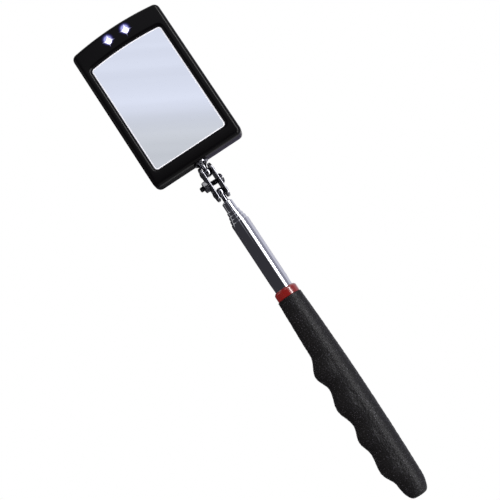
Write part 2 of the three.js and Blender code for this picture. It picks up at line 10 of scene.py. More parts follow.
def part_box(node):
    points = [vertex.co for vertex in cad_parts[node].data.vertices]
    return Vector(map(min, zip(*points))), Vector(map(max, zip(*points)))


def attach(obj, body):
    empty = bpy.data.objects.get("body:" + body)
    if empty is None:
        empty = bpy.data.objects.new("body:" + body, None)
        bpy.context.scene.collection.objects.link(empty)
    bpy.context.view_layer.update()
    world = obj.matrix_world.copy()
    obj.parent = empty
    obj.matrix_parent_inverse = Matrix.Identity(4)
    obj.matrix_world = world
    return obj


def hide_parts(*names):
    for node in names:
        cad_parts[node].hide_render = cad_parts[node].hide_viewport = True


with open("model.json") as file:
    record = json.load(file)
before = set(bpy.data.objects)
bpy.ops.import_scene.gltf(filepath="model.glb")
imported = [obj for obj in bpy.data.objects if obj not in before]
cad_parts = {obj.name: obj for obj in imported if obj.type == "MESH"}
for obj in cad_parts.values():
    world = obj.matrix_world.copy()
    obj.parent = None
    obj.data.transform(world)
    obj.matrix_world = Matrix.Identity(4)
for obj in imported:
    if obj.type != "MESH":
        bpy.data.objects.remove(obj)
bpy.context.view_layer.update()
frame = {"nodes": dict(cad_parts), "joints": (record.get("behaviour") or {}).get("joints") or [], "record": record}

bl_info = {
    "name": "Telescoping Inspection Mirror",
    "version": (1, 0, 0),
    "blender": (4, 5, 0),
    "location": "View3D > Sidebar > Mirror",
    "description": "Builds the finished surfaces of a lit inspection mirror round its packed frame",
    "category": "Object",
}

# ---- the frame's own sizes -----------------------------------------------------------------
# Lengths are in millimetres; make_object turns them into metres.

MM = 0.001
BODY_OF = {n: body for body, names in frame["record"]["behaviour"]["bodies"].items() for n in names}
JOINT = {j["name"]: j for j in frame["joints"]}


def box(node):
    """A CAD node's lowest and highest corners in millimetres."""
    low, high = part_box(node)
    return low / MM, high / MM


def middle_of(node):
    """The middle of a CAD node's box in millimetres."""
    low, high = box(node)
    return (low + high) / 2


def across(node):
    """A CAD node's width along X in millimetres."""
    low, high = box(node)
    return high.x - low.x


LOWER_BALL = Vector(JOINT["clamp_tilt"]["pos_m"]) / MM
UPPER_BALL = Vector(JOINT["head_tilt"]["pos_m"]) / MM
BALL_RADIUS = across("lower_ball_stud") / 2
CLAMP_X = Vector(JOINT["clamp_tilt"]["axis"]).normalized()
CLAMP_Y = Vector((0, 1, 0))
CLAMP_PLACE = Matrix.Translation((LOWER_BALL + UPPER_BALL) / 2) @ Matrix(
    (CLAMP_X, CLAMP_Y, CLAMP_X.cross(CLAMP_Y))
).transposed().to_4x4()
SLEEVE_BORE = across("outer_tube") / 2 + 0.06
BALL_SPAN = (UPPER_BALL - LOWER_BALL).length

BEZEL_LOW, BEZEL_HIGH = box("front_bezel")
SHELL_LOW = box("rear_shell")[0]
GLASS_LOW, GLASS_HIGH = box("mirror_glass")
COVER_LOW, COVER_HIGH = box("battery_cover")
GRIP_HIGH = box("cushion_grip")[1]

Panel = namedtuple("Panel", "width bottom top arch corner")
GLASS_OVERLAP = 1.3
WALL = 1.8
CASE = Panel(BEZEL_HIGH.x - BEZEL_LOW.x, BEZEL_LOW.y, BEZEL_HIGH.y, 165, 3.3)


def grow(panel, by):
    """The panel with every edge moved out by a distance, or in where it is negative."""
    return Panel(
        panel.width + 2 * by, panel.bottom - by, panel.top + by, panel.arch + by, max(panel.corner + by, 0.4)
    )


GLASS = Panel(GLASS_HIGH.x - GLASS_LOW.x, GLASS_LOW.y, GLASS_HIGH.y, 166.3, 3.1)
WINDOW = grow(GLASS, -GLASS_OVERLAP)


# ---- mesh making ---------------------------------------------------------------------------


def rounded(corners, closed=False, steps=4):
    """Round each (a, b, radius) corner of a flat outline; a corner with no radius stays sharp."""
    points = []
    count = len(corners)
    for i, corner in enumerate(corners):
        here = Vector(corner[:2])
        radius = corner[2] if len(corner) > 2 else 0
        if radius == 0 or (not closed and i in (0, count - 1)):
            points.append(here)
            continue
        before = Vector(corners[i - 1][:2]) - here
        after = Vector(corners[(i + 1) % count][:2]) - here
        reach = min(radius, 0.48 * before.length, 0.48 * after.length)
        start = here + before.normalized() * reach
        end = here + after.normalized() * reach
        for k in range(steps + 1):
            t = k / steps
            points.append((1 - t) ** 2 * start + 2 * t * (1 - t) * here + t ** 2 * end)
    return points


def loft(rings, looped=False):
    """A closed skin over rings of points; the end rings are capped unless the rings loop round."""
    bm = bmesh.new()
    made = [[bm.verts.new(p) for p in ring] for ring in rings]
    pairs = list(zip(made, made[1:]))
    if looped:
        pairs.append((made[-1], made[0]))
    for low, high in pairs:
        count = max(len(low), len(high))
        for i in range(count):
            j = (i + 1) % count
            corners = [low[i % len(low)], low[j % len(low)], high[j % len(high)], high[i % len(high)]]
            unique = list(dict.fromkeys(corners))
            bm.faces.new(unique)
    if not looped:
        for ring in (made[0], made[-1]):
            if len(ring) > 2:
                bm.faces.new(ring)
    bmesh.ops.recalc_face_normals(bm, faces=bm.faces)
    return bm


def turn(profile, sides=48, warp=None):
    """A body of revolution about Y from (radius, height) points; warp may change a radius."""
    looped = profile[0][0] > 0
    rings = []
    for radius, height in profile:
        if radius == 0:
            rings.append([Vector((0, height, 0))])
            continue
        ring = []
        for i in range(sides):
            angle = 2 * math.pi * i / sides
            reach = warp(radius, height, angle) if warp else radius
            ring.append(Vector((reach * math.cos(angle), height, reach * math.sin(angle))))
        rings.append(ring)
    return loft(rings, looped)


def slab_block(low, high, bevel=0.0, segments=2):
    """A box from its lowest and highest corners, with its edges rounded."""
    bm = bmesh.new()
    size = Vector(high) - Vector(low)
    middle = (Vector(high) + Vector(low)) / 2
    bmesh.ops.create_cube(bm, size=1, matrix=Matrix.Translation(middle) @ Matrix.Diagonal((*size, 1)))
    if bevel:
        bmesh.ops.bevel(bm, geom=bm.edges[:], offset=bevel, segments=segments, profile=0.5, affect="EDGES")
    return bm


def make_object(name, bm, place=None):
    """Write a bmesh in millimetres into a new object in metres."""
    if place is not None:
        bm.transform(place)
    bm.transform(Matrix.Scale(MM, 4))
    mesh = bpy.data.meshes.new(name)
    bm.to_mesh(mesh)
    bm.free()
    made = bpy.data.objects.new(name, mesh)
    bpy.context.scene.collection.objects.link(made)
    return made


def combine(target, tools, operation="DIFFERENCE"):
    """Cut or join an object with tool bodies, then delete the tools."""
    made = [make_object("tool", bm, place) for bm, place in tools]
    for tool in made:
        step = target.modifiers.new("combine", "BOOLEAN")
        step.object = tool
        step.operation = operation
        step.solver = "EXACT"
    bpy.context.view_layer.update()
    graph = bpy.context.evaluated_depsgraph_get()
    mesh = bpy.data.meshes.new_from_object(target.evaluated_get(graph))
    target.modifiers.clear()
    target.data = mesh
    for tool in made:
        bpy.data.objects.remove(tool)
    return target


def finish_piece(piece, node, material, sharp=32):
    """Shade a piece, give it its material, and let it stand for its CAD node on the same body."""
    mesh = piece.data
    for face in mesh.polygons:
        face.use_smooth = True
    mesh.set_sharp_from_angle(angle=math.radians(sharp))
    mesh.materials.clear()
    mesh.materials.append(material)
    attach(piece, BODY_OF[node])
    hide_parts(node)
    return piece


def make_piece(node, bm, material, place=None, cuts=(), joins=(), sharp=32):
    """Build the finished surface that stands for a CAD node."""
    piece = make_object(node + "_detail", bm, place)
    if joins:
        combine(piece, joins, "UNION")
    if cuts:
        combine(piece, cuts)
    return finish_piece(piece, node, material, sharp)


def keep_node(node, material):
    """Give a CAD node that keeps its own shape its material."""
    mesh = frame["nodes"][node].data
    mesh.materials.clear()
    mesh.materials.append(material)
    return frame["nodes"][node]


def panel_ring(panel, z, corner_steps=8, arch_steps=20):
    """Points round an arched panel at a height."""
    width, bottom, top, arch, corner = panel
    side = width / 2 - corner
    centre = top - arch
    shoulder = centre + math.sqrt((arch - corner) ** 2 - side ** 2)
    lean = math.atan2(shoulder - centre, side)
    half = math.pi / 2
    arcs = (
        (-side, bottom + corner, corner, 2 * half, 3 * half, corner_steps),
        (side, bottom + corner, corner, 3 * half, 4 * half, corner_steps),
        (side, shoulder, corner, 0, lean, corner_steps),
        (0, centre, arch, lean, math.pi - lean, arch_steps),
        (-side, shoulder, corner, math.pi - lean, math.pi, corner_steps),
    )
    ring = []
    for cx, cy, radius, start, end, steps in arcs:
        for k in range(steps + 1):
            a = start + (end - start) * k / steps
            point = Vector((cx + radius * math.cos(a), cy + radius * math.sin(a), z))
            if not ring or (point - ring[-1]).length > 1e-4:
                ring.append(point)
    return ring


def standing(point):
    """Turn a body made about Y so that it stands up along Z through a point."""
    return Matrix.Translation((point.x, point.y, 0)) @ Matrix.Rotation(math.pi / 2, 4, "X")


# ---- materials -----------------------------------------------------------------------------


def linear(code, alpha=1.0):
    """An sRGB hex colour as linear values."""
    parts = [int(code[i:i + 2], 16) / 255 for i in (1, 3, 5)]
    return (*[c / 12.92 if c <= 0.04045 else ((c + 0.055) / 1.055) ** 2.4 for c in parts], alpha)


def shaded(colour, part):
    """A colour with a part of its brightness."""
    return (*[part * c for c in colour[:3]], 1)


def add(tree, kind, values=None, links=None, **settings):
    """Add one node with its settings, its inputs' values and the sockets that feed it."""
    node = tree.nodes.new(kind)
    for name, value in settings.items():
        setattr(node, name, value)
    for name, value in (values or {}).items():
        node.inputs[name].default_value = value
    for name, source in (links or {}).items():
        tree.links.new(source, node.inputs[name])
    return node


def blank(name):
    """A material with an empty node tree."""
    material = bpy.data.materials.get(name) or bpy.data.materials.new(name)
    material.use_nodes = True
    material.node_tree.nodes.clear()
    return material, material.node_tree


def surface(name, **values):
    """A new material, its node tree, its shader and its object coordinates."""
    material, tree = blank(name)
    shader = add(tree, "ShaderNodeBsdfPrincipled", values)
    add(tree, "ShaderNodeOutputMaterial", links={"Surface": shader.outputs[0]})
    place = add(tree, "ShaderNodeTexCoord").outputs["Object"]
    return material, tree, shader, place


def per_metre(size_mm):
    """The texture scale that puts one pattern cell in a real size."""
    return 1000 / size_mm


def speckle(tree, place, size_mm, detail=2.0):
    """A cloudy 0 to 1 pattern whose patches have a real size."""
    values = {"Scale": per_metre(size_mm), "Detail": detail}
    return add(tree, "ShaderNodeTexNoise", values, {"Vector": place}).outputs["Fac"]


def feed(tree, node, slot, source):
    """Link an input to a socket, or set it to a value."""
    if isinstance(source, bpy.types.NodeSocket):
        tree.links.new(source, node.inputs[slot])
    else:
        node.inputs[slot].default_value = source


def blend(tree, fac, low, high):
    """Mix two colours, each given as a value or as a socket."""
    node = add(tree, "ShaderNodeMix", data_type="RGBA")
    for slot, source in ((0, fac), (6, low), (7, high)):
        feed(tree, node, slot, source)
    return node.outputs[2]


def maths(tree, operation, *operands):
    """The outcome of one operation on values and sockets."""
    node = add(tree, "ShaderNodeMath", operation=operation)
    for slot, operand in enumerate(operands):
        feed(tree, node, slot, operand)
    return node.outputs[0]


def tint(tree, place, size_mm, dark, light, stretch=(1, 1, 1)):
    """A colour that drifts between two shades over patches of a real size."""
    where = add(tree, "ShaderNodeMapping", {"Scale": stretch}, {"Vector": place}).outputs[0]
    patch = speckle(tree, where, size_mm, 3.0)
    return blend(tree, patch, dark, light)


def between(tree, fac, low, high, start=0.0, end=1.0, **settings):
    """Map a value to a range, from 0 to 1 or from the start and end given."""
    values = {"From Min": start, "From Max": end, "To Min": low, "To Max": high}
    return add(tree, "ShaderNodeMapRange", values, {"Value": fac}, **settings).outputs[0]


def bump(tree, height, depth_mm, strength=1.0, below=None):
    """A bump of a real depth, laid over another where one is given."""
    links = {"Height": height}
    if below is not None:
        links["Normal"] = below
    return add(tree, "ShaderNodeBump", {"Strength": strength, "Distance": depth_mm * MM}, links).outputs[0]


def cushion_vinyl(colour):
    """Soft PVC, dipped over a grained former: pebbled, dull in the valleys, waxy on the crowns, with painted
    highlights on them.
    """
    material, tree, shader, place = surface("Soft PVC, dip-moulded pebble grain", IOR=1.53)
    shader.inputs["Specular IOR Level"].default_value = 0.13
    shade = tint(tree, place, 9, shaded(colour, 0.72), colour)
    # fine cells, about 0.95 mm across, over the modelled pebbles
    pebble = add(tree, "ShaderNodeTexVoronoi", {"Scale": per_metre(0.95)}, {"Vector": place})
    grain = speckle(tree, place, 0.28, 2.0)
    # painted highlight: paler colour on the crowns, where the light catches them, which are also left glossier
    spots = speckle(tree, place, 0.55, 1.0)
    painted_glint = between(tree, spots, 0.0, 1.0, 0.62, 0.74)
    pale = blend(tree, painted_glint, shade, linear("#45444b"))
    feed(tree, shader, "Base Color", pale)
    feed(tree, shader, "Roughness", between(tree, spots, 0.66, 0.30))
    dimples = bump(tree, pebble.outputs["Distance"], -0.16, 0.8)
    feed(tree, shader, "Normal", bump(tree, grain, 0.05, 0.7, dimples))
    return material


def red_sleeve(colour):
    """Glossy PVC sleeve, extruded and cut: wet-looking, with faint lines along its length."""
    material, tree, shader, place = surface("PVC, extruded gloss sleeve", IOR=1.53)
    shader.inputs["Specular IOR Level"].default_value = 0.3
    shader.inputs["Coat Weight"].default_value = 1.0
    shader.inputs["Coat Roughness"].default_value = 0.04
    deep = shaded(colour, 0.7)
    feed(tree, shader, "Base Color", tint(tree, place, 2.5, deep, colour, stretch=(1, 0.2, 1)))
    lines = add(tree, "ShaderNodeMapping", {"Scale": (1, 0.08, 1)}, {"Vector": place}).outputs[0]
    streak = speckle(tree, lines, 0.5)
    feed(tree, shader, "Roughness", between(tree, streak, 0.18, 0.34))
    feed(tree, shader, "Normal", bump(tree, streak, 0.02, 0.4))
    return material


def chromed_tube(colour):
    """Chrome-plated steel, drawn and buffed: mirror-bright with hair lines along the draw."""
    material, tree, shader, place = surface("Chromed steel, drawn and buffed", Metallic=1.0)
    warm = shaded(colour, 0.93)
    feed(tree, shader, "Base Color", tint(tree, place, 14, warm, colour))
    lines = add(tree, "ShaderNodeMapping", {"Scale": (1, 0.02, 1)}, {"Vector": place}).outputs[0]
    hair = speckle(tree, lines, 0.35, 4.0)
    feed(tree, shader, "Roughness", between(tree, hair, 0.02, 0.06))
    feed(tree, shader, "Normal", bump(tree, hair, 0.004, 0.35))
    return material


def nickel_steel(name, colour, grain_mm, rough):
    """Nickel-plated steel: darker and warmer than chrome, with the grain of its forming."""
    material, tree, shader, place = surface(name, Metallic=1.0)
    dark = shaded(colour, 0.6)
    feed(tree, shader, "Base Color", tint(tree, place, 1.6, dark, colour))
    grain = speckle(tree, place, grain_mm, 3.0)
    feed(tree, shader, "Roughness", between(tree, grain, rough * 0.5, rough * 1.3))
    feed(tree, shader, "Normal", bump(tree, grain, 0.006, 0.25))
    return material


def spring_brass():
    """Spring brass strip, stamped: yellow, lightly brushed by the roll."""
    material, tree, shader, place = surface("Spring brass, stamped strip", Metallic=1.0)
    shade = tint(tree, place, 2, linear("#8a6a2c"), linear("#c9a65a"))
    feed(tree, shader, "Base Color", shade)
    roll = speckle(tree, place, 0.2)
    feed(tree, shader, "Roughness", between(tree, roll, 0.25, 0.42))
    return material


# where a lamp's painted halo and the points of its painted glare start and end, from the lamp's middle
HALO_START = 1.8
HALO_END = 3.9
STAR_START = 1.7
STAR_END = 4.4
# the higher this is, the faster the painted halo falls off
HALO_FALL = 2.6
# the lower this is, the thinner the points
STAR_WAIST = 0.55
STAR_TURN = math.radians(12)


def painted_lamp_halo(tree, place, centre):
    """How strong a lamp's painted halo is at a point: 1 at its rim, 0 a few millimetres off."""
    near = add(tree, "ShaderNodeVectorMath", {1: tuple(centre * MM)}, {0: place}, operation="DISTANCE")
    fall = between(tree, near.outputs["Value"], 1.0, 0.0, HALO_START * MM, HALO_END * MM)
    return maths(tree, "POWER", fall, HALO_FALL)


def painted_lamp_star(tree, place, centre):
    """The four short points of a lamp's painted glare: 1 at its rim, 0 at their tips."""
    away = add(tree, "ShaderNodeVectorMath", {1: tuple(centre * MM)}, {0: place}, operation="SUBTRACT")
    turned = add(tree, "ShaderNodeVectorRotate", {"Angle": STAR_TURN}, {"Vector": away.outputs[0]})
    split = add(tree, "ShaderNodeSeparateXYZ", links={0: turned.outputs[0]})
    roots = []
    for axis in ("X", "Y"):
        size = maths(tree, "ABSOLUTE", split.outputs[axis])
        roots.append(maths(tree, "POWER", size, STAR_WAIST))
    reach = maths(tree, "POWER", maths(tree, "ADD", *roots), 1 / STAR_WAIST)
    return between(tree, reach, 1.0, 0.0, STAR_START * MM, STAR_END * MM)


def moulded_abs(colour, lamps=()):
    """ABS, injection moulded in a lightly polished tool: satin black with soft broad highlights.

    Round each lamp the moulding carries a painted glow: a halo and a four-pointed glare in the lamps' colours.
    """
    name = "ABS, injection moulded satin" + (", lit by the lamps" if lamps else "")
    material, tree, shader, place = surface(name, IOR=1.52)
    shader.inputs["Specular IOR Level"].default_value = 0.1
    if lamps:
        # painted glow round each lamp: the blue halo leans a little toward the head's far edge, and white glare
        # points cross it
        painted_halos = [painted_lamp_halo(tree, place, centre + Vector((0, 0.9, 0))) for centre in lamps]
        painted_star_points = [painted_lamp_star(tree, place, centre) for centre in lamps]
        spill = maths(tree, "ADD", *painted_halos)
        star = maths(tree, "ADD", *painted_star_points)
        halo = blend(tree, spill, linear("#2a22b0"), linear("#b9baff"))
        feed(tree, shader, "Emission Color", blend(tree, star, halo, (1, 1, 1, 1)))
        power = maths(tree, "ADD", between(tree, spill, 0.0, 0.8), between(tree, star, 0.0, 1.2))
        feed(tree, shader, "Emission Strength", power)
    deep = shaded(colour, 0.75)
    feed(tree, shader, "Base Color", tint(tree, place, 18, deep, colour))
    # spark-eroded tool texture, about 0.15 mm grain
    grain = speckle(tree, place, 0.15, 2.0)
    flow = speckle(tree, place, 30, 2.0)
    feed(tree, shader, "Roughness", between(tree, flow, 0.20, 0.30))
    feed(tree, shader, "Normal", bump(tree, grain, 0.004, 0.3))
    return material


def moulded_nylon():
    """Nylon, moulded: matt dark grey with a faint mottled grain."""
    material, tree, shader, place = surface("Nylon, moulded matt", IOR=1.53)
    shade = tint(tree, place, 3, linear("#242427"), linear("#3a3a3e"))
    feed(tree, shader, "Base Color", shade)
    grain = speckle(tree, place, 0.2, 2.0)
    feed(tree, shader, "Roughness", between(tree, grain, 0.45, 0.62))
    feed(tree, shader, "Normal", bump(tree, grain, 0.02, 0.5))
    return material


def silvered_glass(colour):
    """Float glass silvered on the back: a cold mirror, all but free of haze, with a ground white bevel that has a
    painted glow.
    """
    material, tree, shader, place = surface("Float glass, silvered and bevelled")
    cool = shaded(colour, 0.985)
    height = add(tree, "ShaderNodeSeparateXYZ", links={0: place}).outputs["Z"]
    # the flat face is all that lies above the bevel
    flat = maths(tree, "GREATER_THAN", height, (GLASS_HIGH.z - 0.012) * MM)
    shade = blend(tree, flat, linear("#fbfbff"), tint(tree, place, 40, cool, colour))
    feed(tree, shader, "Metallic", flat)
    # painted highlight: the ground bevel glows faintly white all round, so it shows as a bright line even where it
    # lies in shade
    rim = maths(tree, "COMPARE", height, (GLASS_HIGH.z - 0.18) * MM, 0.165 * MM)
    shader.inputs["Emission Color"].default_value = linear("#f2f3ff")
    feed(tree, shader, "Emission Strength", between(tree, rim, 0.0, 0.5))
    feed(tree, shader, "Base Color", shade)
    haze = speckle(tree, place, 12, 4.0)
    feed(tree, shader, "Roughness", between(tree, haze, 0.015, 0.05))
    return material


def foam_tape():
    """Polyethylene foam tape: off-white, open-pored and dull."""
    material, tree, shader, place = surface("PE foam, slit tape", Roughness=0.9)
    feed(tree, shader, "Base Color", tint(tree, place, 1.2, linear("#cfcabd"), linear("#ece9e0")))
    pores = add(tree, "ShaderNodeTexVoronoi", {"Scale": per_metre(0.5)}, {"Vector": place})
    feed(tree, shader, "Normal", bump(tree, pores.outputs["Distance"], 0.15, 0.6))
    return material


def lit_lens(colour, centre, strength):
    """Clear epoxy lamp lens, cast: a blown-out white core inside a blue-violet rim."""
    name = "Epoxy lamp lens, cast and lit" + (" left" if centre.x < 0 else " right")
    material, tree, shader, place = surface(name, Roughness=0.08, IOR=1.54)
    shader.inputs["Coat Weight"].default_value = 1.0
    core = add(tree, "ShaderNodeVectorMath", {1: tuple(centre * MM)}, {0: place}, operation="SUBTRACT")
    span = add(tree, "ShaderNodeVectorMath", links={0: core.outputs[0]}, operation="LENGTH").outputs["Value"]
    # bright to 1.15 mm from the chip's middle, fallen to the rim's colour by 1.75 mm
    fade = between(tree, span, 0.0, 1.0, 1.15 * MM, 1.75 * MM)
    glow = blend(tree, fade, colour, linear("#4038a8"))
    feed(tree, shader, "Emission Color", glow)
    feed(tree, shader, "Emission Strength", between(tree, fade, strength, 0.9))
    shader.inputs["Base Color"].default_value = linear("#9aa0d8")
    return material


def circuit_board():
    """FR4 under green solder mask: the weave shows faintly through the mask."""
    material, tree, shader, place = surface("FR4, solder masked", Roughness=0.4, IOR=1.55)
    weave = add(tree, "ShaderNodeTexBrick", {"Scale": per_metre(1.2)}, {"Vector": place})
    weave.inputs["Color1"].default_value = linear("#1d5a33")
    weave.inputs["Color2"].default_value = linear("#236b3d")
    weave.inputs["Mortar"].default_value = linear("#184a2a")
    feed(tree, shader, "Base Color", weave.outputs["Color"])
    return material


BAND_PITCH = 0.9


def resistor_lacquer():
    """Lacquered carbon film resistor: tan body with colour bands along X."""
    material, tree, shader, place = surface("Carbon film resistor, lacquered", Roughness=0.35)
    split = add(tree, "ShaderNodeSeparateXYZ", links={0: place}).outputs["X"]
    wave = maths(tree, "SINE", maths(tree, "MULTIPLY", split, math.pi * 2 / (BAND_PITCH * MM)))
    paint = blend(tree, maths(tree, "GREATER_THAN", wave, 0.6), linear("#cdb184"), linear("#6b3a22"))
    feed(tree, shader, "Base Color", paint)
    return material


# ---- settings ------------------------------------------------------------------------------


def length_setting(name, description, length_mm):
    """A length property with its default in millimetres."""
    return bpy.props.FloatProperty(
        name=name, description=description, default=length_mm * MM, unit="LENGTH", precision=5,
    )


class MirrorSizes(bpy.types.PropertyGroup):
    """Sizes that the finished surfaces add to the frame's."""

    pebble: length_setting("Pebble size", "Width of one pebble of the grip's grain", 1.25)
    pebble_depth: length_setting("Pebble depth", "Height of a pebble over its valleys", 0.14)
    edge_round: length_setting("Case edge", "How far the case's front and back edges round over", 2.4)
    brow_round: length_setting("Window brow", "Radius of the roll round the mirror's window", 2.2)
    glass_bevel: length_setting("Glass bevel", "Width of the mirror's polished bevel", 0.6)
    thread_pitch: length_setting("Thread pitch", "Pitch of the clamp screw's thread", 0.5)
    lamp_strength: bpy.props.FloatProperty(
        name="Lamp strength", description="Brightness of the lamps' cores", default=9.0, min=0.0,
    )


def colour_setting(name, description, code):
    """A colour property with an sRGB hex default."""
    return bpy.props.FloatVectorProperty(
        name=name, description=description, default=linear(code), subtype="COLOR", size=4, min=0, max=1,
    )


class MirrorColours(bpy.types.PropertyGroup):
    """Colours of the finishes."""

    cushion: colour_setting("Cushion", "Soft vinyl of the grip", "#161517")
    ring: colour_setting("Ring", "Red sleeve at the grip's mouth", "#880f09")
    tube: colour_setting("Tube", "Chrome plate of the pole", "#dedfe4")
    joint: colour_setting("Joint", "Nickel plate of the ball joint", "#909096")
    case: colour_setting("Case", "Black moulding of the head", "#080709")
    glass: colour_setting("Glass", "Tint of the silvered glass", "#e9effa")
    lamp: colour_setting("Lamp", "Light of the lamps", "#f4f3ff")


def chosen(finish):
    """The colour that the settings give a finish."""
    return tuple(getattr(bpy.context.scene.mirror_colours, finish))


# ---- pieces --------------------------------------------------------------------------------

GRIP_BELLY_Y = 59
GRIP_BELLY_RADIUS = GRIP_HIGH.x
GRIP_MOUTH_RADIUS = 6.75
BUTT_LENGTH = 9
BUTT_DEPTH = 3.55
# (distance from the butt, how far the finger side stands beyond the round body)
FINGER_RIDGES = (
    (0, 0.1), (9, 0.1), (18.7, 3.3), (28.9, 1.9), (36.5, 3.5), (45.1, 1.2),
    (55.6, 3.7), (66.2, 1.3), (74.8, 3.9), (85.5, 0.3), (GRIP_HIGH.y, 0.1),
)


def grip_radius(y):
    """The round body's radius at a distance from the butt."""
    taper = (GRIP_BELLY_RADIUS - GRIP_MOUTH_RADIUS) / (GRIP_HIGH.y - GRIP_BELLY_Y) ** 2
    body = GRIP_BELLY_RADIUS - taper * (y - GRIP_BELLY_Y) ** 2
    in_butt = max(0, 1 - y / BUTT_LENGTH)
    return body - BUTT_DEPTH * (1 - math.sqrt(1 - in_butt ** 2))


def finger_extra(y):
    """How far the finger side stands out, level at every ridge and valley."""
    for (y0, low), (y1, high) in zip(FINGER_RIDGES, FINGER_RIDGES[1:]):
        if y <= y1:
            part = 0.5 - 0.5 * math.cos(math.pi * (y - y0) / (y1 - y0))
            return low + (high - low) * part
    return FINGER_RIDGES[-1][1]


class MIRROR_OT_grip(bpy.types.Operator):
    """Build the pebbled cushion grip"""

    bl_idname = "mirror.grip"
    bl_label = "Grip"

    def execute(self, context):
        sizes = context.scene.mirror_sizes
        pebble = sizes.pebble / MM
        depth = sizes.pebble_depth / MM
        mouth = GRIP_HIGH.y
        bore = SLEEVE_BORE
        floor = box("outer_tube")[0].y

        def skin(radius, y, angle):
            if y > mouth - 0.01 or radius <= bore + 0.01:
                return radius
            facing = max(0, -math.cos(angle)) ** 1.3
            reach = radius + finger_extra(y) * facing
            point = Vector((reach * math.cos(angle), y, reach * math.sin(angle))) / pebble
            near = noise.voronoi(point, distance_metric="DISTANCE")[0][0]
            crown = max(0, 1 - (near / 0.62) ** 2)
            fade = min(1, y / 2.5, (mouth - y) / 1.2)
            return reach - 0.04 - depth * (1 - crown) * max(0, fade)

        rows = int((mouth - 1.2) / 0.5)
        profile = [(0, 0), (1.4, 0), (2.6, 0)]
        profile += [(grip_radius(y), y) for y in (0.0, 0.12, 0.3, 0.55, 0.85)]
        profile += [(grip_radius(1.2 + 0.5 * i), 1.2 + 0.5 * i) for i in range(rows)]
        lip = [
            (GRIP_MOUTH_RADIUS, mouth - 0.7), (GRIP_MOUTH_RADIUS, mouth, 0.6),
            (bore, mouth, 0.3), (bore, floor),
        ]
        profile += rounded(lip)
        profile.append((0, floor))
        colour = chosen("cushion")
        grip = make_piece("cushion_grip", turn(profile, 100, skin), cushion_vinyl(colour), sharp=50)
        return {"FINISHED"}


class MIRROR_OT_ring(bpy.types.Operator):
    """Build the red sleeve at the grip's mouth"""

    bl_idname = "mirror.ring"
    bl_label = "Red ring"

    def execute(self, context):
        low, high = box("ferrule_ring")
        radius = high.x
        bore = SLEEVE_BORE
        profile = rounded([
            (bore, low.y), (radius - 0.1, low.y, 0.2), (radius, low.y + 0.5, 0.3),
            (radius, high.y - 1.0, 0.5), (radius - 0.9, high.y, 0.7), (bore, high.y, 0.15),
        ], closed=True)
        material = red_sleeve(chosen("ring"))
        make_piece("ferrule_ring", turn(profile, 96), material)
        return {"FINISHED"}


TUBE_WALL = 0.35
NECK_LENGTH = 6
TIP_BORE = 1.6


class MIRROR_OT_pole(bpy.types.Operator):
    """Build the five telescoping tubes"""

    bl_idname = "mirror.pole"
    bl_label = "Pole"

    def execute(self, context):
        material = chromed_tube(chosen("tube"))
        tubes = ["outer_tube"] + [f"tube_section_{n}" for n in range(2, 6)]
        wall = TUBE_WALL
        for node, inner in zip(tubes, tubes[1:] + [None]):
            low, high = box(node)
            radius = high.x
            bore = radius - wall
            lip = across(inner) / 2 + 0.07 if inner else bore
            seat = [(bore, low.y), (radius, low.y)]
            if node != "outer_tube":
                neck = radius - wall
                seat = [
                    (neck - wall, low.y + NECK_LENGTH), (neck - wall, low.y), (radius - 0.08, low.y, 0.1),
                    (radius - 0.08, low.y + 0.5), (neck, low.y + 0.5), (neck, low.y + NECK_LENGTH - 0.3, 0.2),
                    (radius, low.y + NECK_LENGTH, 0.3),
                ]
            # the rolled end: a small chamfer, then the lip that guides the next tube
            rim = [
                (radius, high.y - 0.3, 0.15), (radius - 0.13, high.y, 0.08),
                (lip, high.y, 0.12), (lip, high.y - 1, 0.1),
                (bore, high.y - 1.3, 0.1),
            ]
            last = [] if node == "outer_tube" else [(bore, low.y + NECK_LENGTH + 0.3)]
            profile = rounded(seat + rim + last, closed=True, steps=3)
            make_piece(node, turn(profile, 80), material, sharp=40)
        return {"FINISHED"}


class MIRROR_OT_inner_fittings(bpy.types.Operator):
    """Finish the bushes, the tube plug and the tip plug"""

    bl_idname = "mirror.inner_fittings"
    bl_label = "Bushes and plugs"

    def execute(self, context):
        brass = spring_brass()
        for number in range(2, 6):
            keep_node(f"friction_bush_{number}", brass)
        keep_node("tube_end_plug", moulded_nylon())
        low, high = box("tip_plug")
        bore = TIP_BORE
        profile = rounded([
            (bore, low.y), (high.x, low.y, 0.2), (high.x, high.y - 0.45, 0.1), (high.x - 0.4, high.y, 0.35),
            (bore, high.y, 0.2),
        ], closed=True)
        steel = nickel_steel("Nickel-plated steel, turned", chosen("joint"), 0.12, 0.06)
        make_piece("tip_plug", turn(profile, 48), steel)
        return {"FINISHED"}


STUD_NECK = 1.35


def ball_profile(centre, start, end, steps=18):
    """(radius, height) points round a ball between two latitudes in degrees."""
    points = []
    for k in range(steps + 1):
        angle = math.radians(start + (end - start) * k / steps)
        reach = 0 if abs(math.cos(angle)) < 1e-9 else BALL_RADIUS * math.cos(angle)
        points.append((reach, centre + BALL_RADIUS * math.sin(angle)))
    return points


